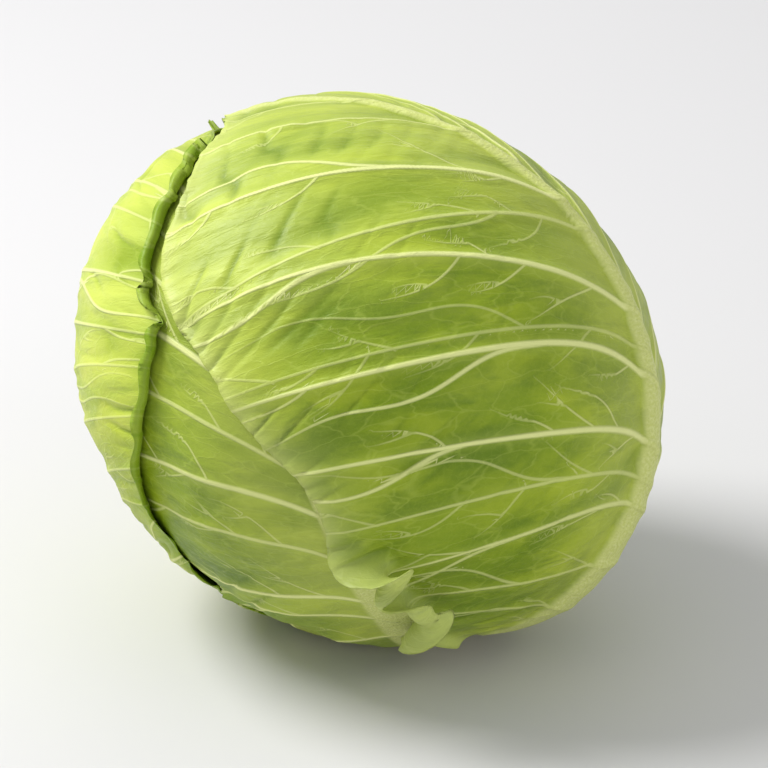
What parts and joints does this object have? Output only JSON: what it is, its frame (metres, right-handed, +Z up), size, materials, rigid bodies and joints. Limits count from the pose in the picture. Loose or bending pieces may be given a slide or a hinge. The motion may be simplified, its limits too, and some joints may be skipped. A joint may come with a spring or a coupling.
{
  "type": "white cabbage",
  "caption": "Whole round head of white cabbage with tightly wrapped pale green leaves, standing slightly tipped on its cut stem end.",
  "frame": {"origin": "on the floor, under the middle of the head's bounding box", "axes": "+Z up; the viewer's side is -Y; the front leaf's midrib runs up the +X side"},
  "size_m": [0.159, 0.1617, 0.1476],
  "materials": {
    "leaf": "smooth waxy leaf with pale raised veins",
    "heart": "pale young leaf, slightly shiny",
    "stem": "dull cut stem"
  },
  "bodies": {
    "root": {"front_leaf": "leaf", "left_leaf": "leaf", "lower_front_leaf": "leaf", "right_back_leaf": "leaf", "left_back_leaf": "leaf", "under_front_leaf": "leaf", "under_back_leaf": "leaf", "heart": "heart", "stem": "stem"}
  },
  "joints": []
}
